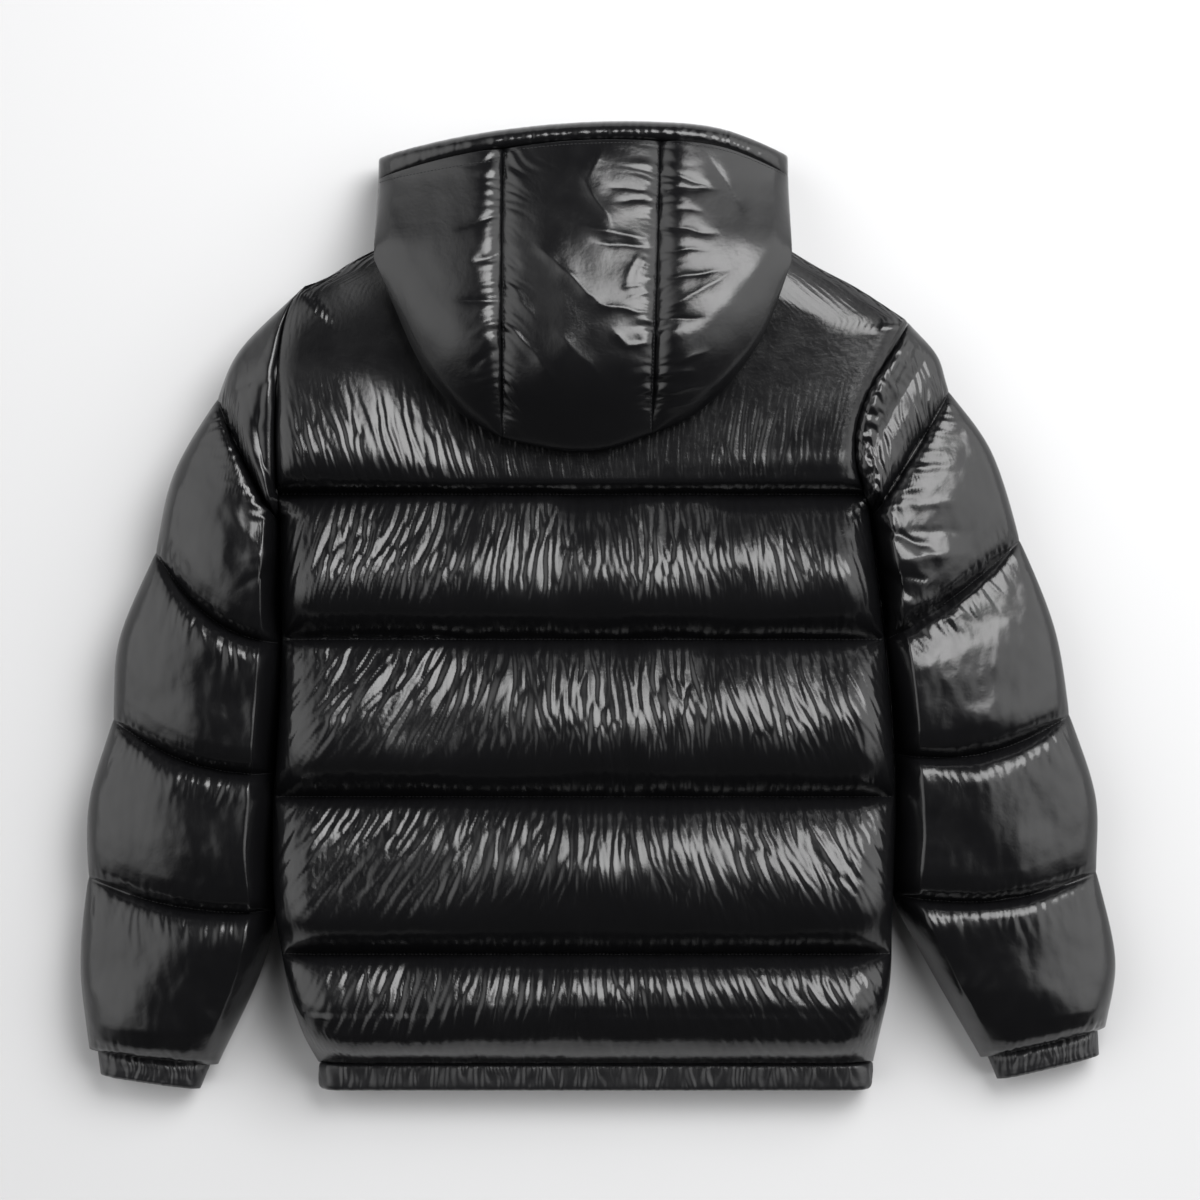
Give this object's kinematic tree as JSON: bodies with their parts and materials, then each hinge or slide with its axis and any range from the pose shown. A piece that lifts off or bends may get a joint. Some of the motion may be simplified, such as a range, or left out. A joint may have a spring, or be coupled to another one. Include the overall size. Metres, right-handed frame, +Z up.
{
  "type": "hooded puffer jacket",
  "caption": "Hooded puffer jacket laid flat on its front, back up: quilted body and sleeves, hood over the back, gathered hem and cuffs, zip front.",
  "frame": {"origin": "centre of the jacket's outline on the surface that it lies on", "axes": "+Z up from that surface, towards the viewer of the back; +Y from the hem towards the hood; +X towards the wearer's right sleeve"},
  "size_m": [0.8467, 0.7884, 0.1298],
  "materials": {
    "shell": "glossy black coated nylon over down-like filling, finely wrinkled between the quilting",
    "band": "the same black nylon, gathered on elastic",
    "zip": "black woven tape with moulded teeth",
    "zip_metal": "dark gunmetal"
  },
  "bodies": {
    "jacket": {"back": "shell", "front_left": "shell", "front_right": "shell", "sleeve_left": "shell", "sleeve_right": "shell", "cuff_left": "band", "cuff_right": "band", "hem_band": "band", "hood_left": "shell", "hood_centre": "shell", "hood_right": "shell", "hood_rim": "shell", "zip": "zip", "zip_slider": "zip_metal"},
    "pull_tab": {"pull_tab": "zip_metal"}
  },
  "joints": [
    {"name": "pull_tab_hinge", "type": "hinge", "parent": "jacket", "child": "pull_tab", "pos_m": [-0.009, 0.262, 0.0019], "axis": [1, 0, 0], "range_deg": [0, 170]}
  ]
}
